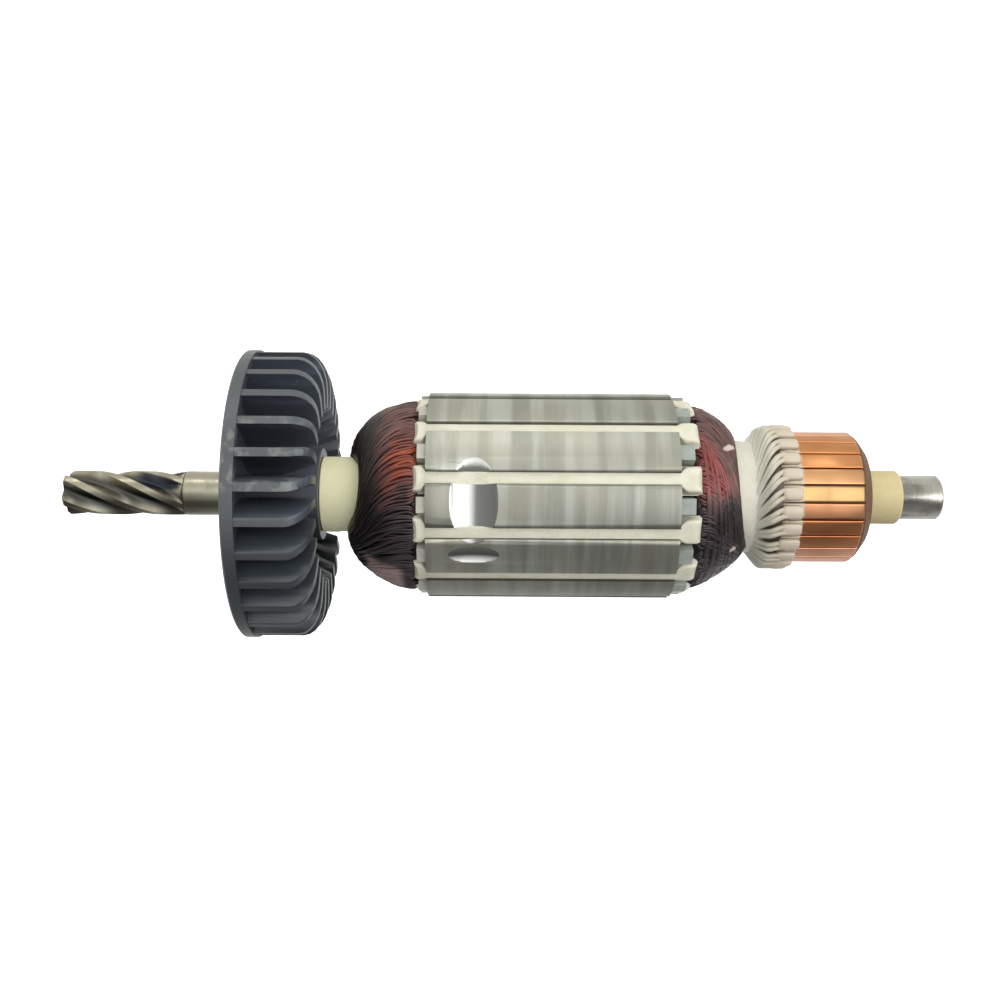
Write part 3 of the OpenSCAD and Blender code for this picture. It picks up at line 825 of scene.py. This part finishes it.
def set_grime_and_shade(made, level):
    """Dirt and painted shade on a piece: level(x, r) from 0 to 1."""
    dirt = [level(v.co.x / MM, v.co.yz.length / MM) for v in made.data.vertices]
    made.data.attributes.new("grime", "FLOAT", "POINT").data.foreach_set("value", dirt)


leads_start = neck_x - 4
outside = []
for k in range(19):
    x = leads_start + (bar_x + 1.0 - leads_start) * k / 18
    outside.append((x, cone(x) + 0.06 - 1.15 * ease((x - neck_x - 0.5) / 2.4)))
profile = [(outside[0][0], lead_bore), *outside, (outside[-1][0], lead_bore)]
filling = lathe(profile, 96, uneven_varnish)
filling = smooth_piece("lead_varnish", filling, varnish, crease=180)
# Painted shade on the varnish deep in the grooves, from the neck on.
set_grime_and_shade(filling, lambda x, r: ease((x - neck_x - 0.9) / 1.6))

routes = []
for k in range(2 * BARS):
    hook_angle = first_bar + BAR_PITCH * (k // 2) + (2.9 if k % 2 else -2.9) + chance.uniform(-0.8, 0.8)
    twist = lay(hook_angle) + chance.uniform(-4, 4)
    depth = 0.42 + chance.uniform(-0.16, 0.16)
    route = []
    for j in range(19):
        q = j / 18
        x = neck_x - 0.3 + (bar_x + 1.6 - neck_x) * q
        sunk = depth + 0.5 * (1 - ease(q / 0.3))
        route.append(ring_point(x, cone(x) - sunk, hook_angle - twist * (1 - q) ** 2.2))
    routes.append((route, chance.random()))
lead_wires = wire_piece("lead_wires", routes, lead_r, 8, -1, varnish)
set_grime_and_shade(lead_wires, lead_grime_and_shade)
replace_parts(lead_wires, "coil_leads")

# ---------------------------------------------------------------------------
# Commutator. Copper bars moulded in dark resin on a steel bush. The brush
# track is turned bright, and the hooks are dipped in the white varnish.
# ---------------------------------------------------------------------------
bar_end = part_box("commutator_bar_01")[1].x / MM
track_start, track_r, bar_gap = bar_x + 4.1, 11.8, 0.26
ORANGE = (0.68, 0.31, 0.125)
BROWN = (0.6, 0.245, 0.105)
PINK = (0.74, 0.37, 0.22)
# A painted highlight colour, for the bar at lamp height.
GLINT_YELLOW = (0.44, 0.28, 0.12)
bar_colours = [chance.choice((ORANGE, BROWN, PINK, ORANGE)) for i in range(BARS)]
# Painted light on the near bars: a highlight on the bar at lamp height, then shade and a pink reflection
# below.
bar_colours[:6] = [GLINT_YELLOW, (0.6, 0.32, 0.15), ORANGE, (0.66, 0.29, 0.11), (0.64, 0.28, 0.11), PINK]
bar_colours[19:] = [PINK, PINK, BROWN, BROWN, (0.5, 0.24, 0.12)]

copper = Finish("commutator_copper", Metallic=0.95, Roughness=0.28)
turned_rings = copper.noise(5, 3, (1, 0.02, 0.02))
bar_colour = copper.add("ShaderNodeAttribute", {"attribute_name": "bar_colour"}, {}, "Color")
bare = copper.band(copper.x + copper.noise(0.9, 3) * 1.4, track_start + 0.4, track_start + 1.0)
tarnish = copper.band(copper.noise(0.5, 4, (0.3, 1, 1)), 0.45, 0.75)
copper_colour = copper.mix(tarnish * 0.3, bar_colour, (0.36, 0.13, 0.06))
dipped_colour = copper.mix(copper.noise(0.8, 4), shade(186, 174, 154), shade(216, 204, 184))
copper.set(Base_Color=copper.mix(bare, dipped_colour, copper_colour),
           Metallic=bare * 0.95,
           Roughness=0.5 - bare * 0.23 + turned_rings * 0.08)
copper.bump(turned_rings, 0.012)

bar_half = (BAR_PITCH - math.degrees(bar_gap / track_r)) / 2
flank = [(bar_half, -3), (bar_half, -0.16), (bar_half - 0.18, -0.05), (bar_half - 0.6, 0)]
top = [(bar_half * k / 4, 0) for k in (3, 2, 1, 0, -1, -2, -3)]
section = flank + top + [(-u, v) for u, v in reversed(flank)]
stations = ((bar_x, 11), (bar_x + 0.7, 11.9), (bar_x + 2.4, 12.2), (bar_x + 3.4, 12),
            (track_start - 0.2, track_r), (track_start + 4.4, track_r),
            (bar_end - 0.5, track_r), (bar_end, track_r - 0.5))
bars_mesh = bmesh.new()
colour_layer = bars_mesh.verts.layers.float_color.new("bar_colour")
for i in range(BARS):
    bar_angle = first_bar + BAR_PITCH * i
    bar_rings = [[ring_point(x, r + drop, bar_angle + u) * MM for u, drop in section] for x, r in stations]
    for vert in loft(bars_mesh, bar_rings):
        vert[colour_layer] = (*bar_colours[i], 1)
copper_bars = smooth_piece("commutator_bars", bars_mesh, copper)
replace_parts(copper_bars, *[f"commutator_bar_{i:02d}" for i in range(1, BARS + 1)])

# The varnish on each hook is a ball squared off to a block.
lump_x, lump_r = bar_x + 2.1, 12.25
lumps = bmesh.new()
for i in range(BARS):
    half_length = 1.8 + chance.uniform(-0.15, 0.15)
    half_width = 1.2 + chance.uniform(-0.12, 0.08)
    half_height = 0.82 + chance.uniform(-0.08, 0.1)
    lump_angle = first_bar + BAR_PITCH * i + chance.uniform(-0.7, 0.7)
    ball = bmesh.ops.create_uvsphere(lumps, u_segments=12, v_segments=8, radius=1)
    for vert in ball["verts"]:
        out, across, along = (math.copysign(abs(value) ** 0.5, value) for value in vert.co)
        r = lump_r + half_height * out
        angle = lump_angle - math.degrees(half_width * across / r)
        vert.co = ring_point(lump_x + half_length * along, r, angle) * MM
hook_varnish = smooth_piece("hook_varnish", lumps, varnish, crease=180, faces_out=True)
# A light dirt on each lump, and painted shade towards its root.
set_grime_and_shade(hook_varnish, lambda x, r: 0.16 + 0.7 * ease((12.55 - r) / 0.5))

resin = Finish("moulding_resin", Roughness=0.55, Specular_IOR_Level=0.3)
resin.set(Base_Color=resin.mix(resin.noise(1.2, 4), shade(84, 58, 42), shade(122, 88, 62)))
dress(resin, "commutator_hub")
dress(steel, "commutator_bush")
